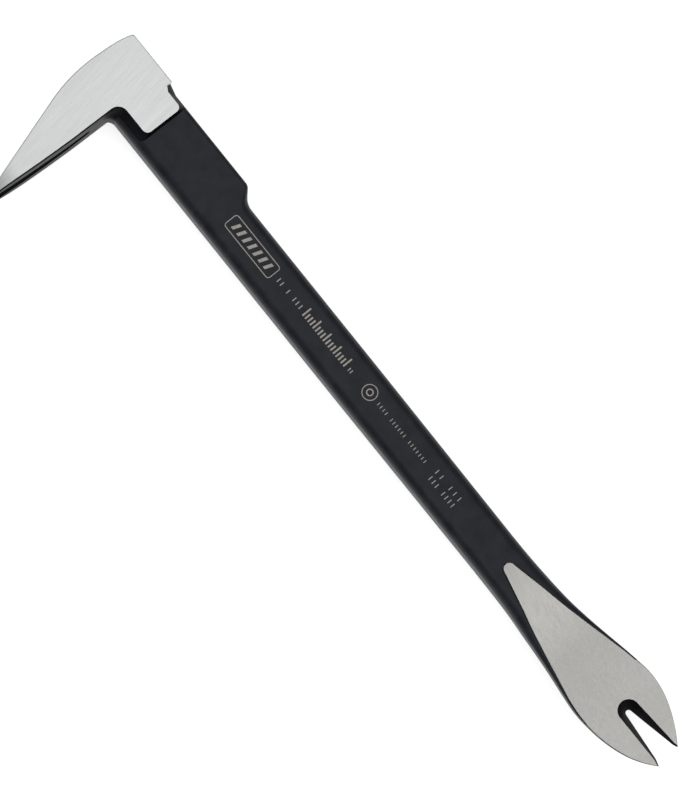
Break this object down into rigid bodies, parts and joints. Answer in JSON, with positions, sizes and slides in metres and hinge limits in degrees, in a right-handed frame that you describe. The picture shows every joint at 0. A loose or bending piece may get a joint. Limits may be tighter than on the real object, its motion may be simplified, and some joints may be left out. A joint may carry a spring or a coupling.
{
  "type": "claw bar",
  "caption": "Forged steel claw bar: a striking head with a nail claw, a flat black-coated shank and a bent, flared foot with a nail slot.",
  "frame": {"origin": "bottom centre of the bounding box, level with the head's rear side face", "axes": "+X along the shank towards the foot's tips, +Y across it towards the striking face, +Z through its thickness towards the bevelled side of the foot's nail slot"},
  "size_m": [0.2546, 0.0624, 0.0246],
  "materials": {
    "ground_steel": "forged steel ground bare, with fine brush lines",
    "black_coat": "matt black powder coat with a fine pebbled texture"
  },
  "bodies": {
    "root": {"striking_head": "ground_steel", "claw_root": "ground_steel", "claw_tine_front": "ground_steel", "claw_tine_rear": "ground_steel", "hump": "black_coat", "shank": "black_coat", "foot_blade": "ground_steel", "foot_tine_left": "ground_steel", "foot_tine_right": "ground_steel"}
  },
  "joints": []
}
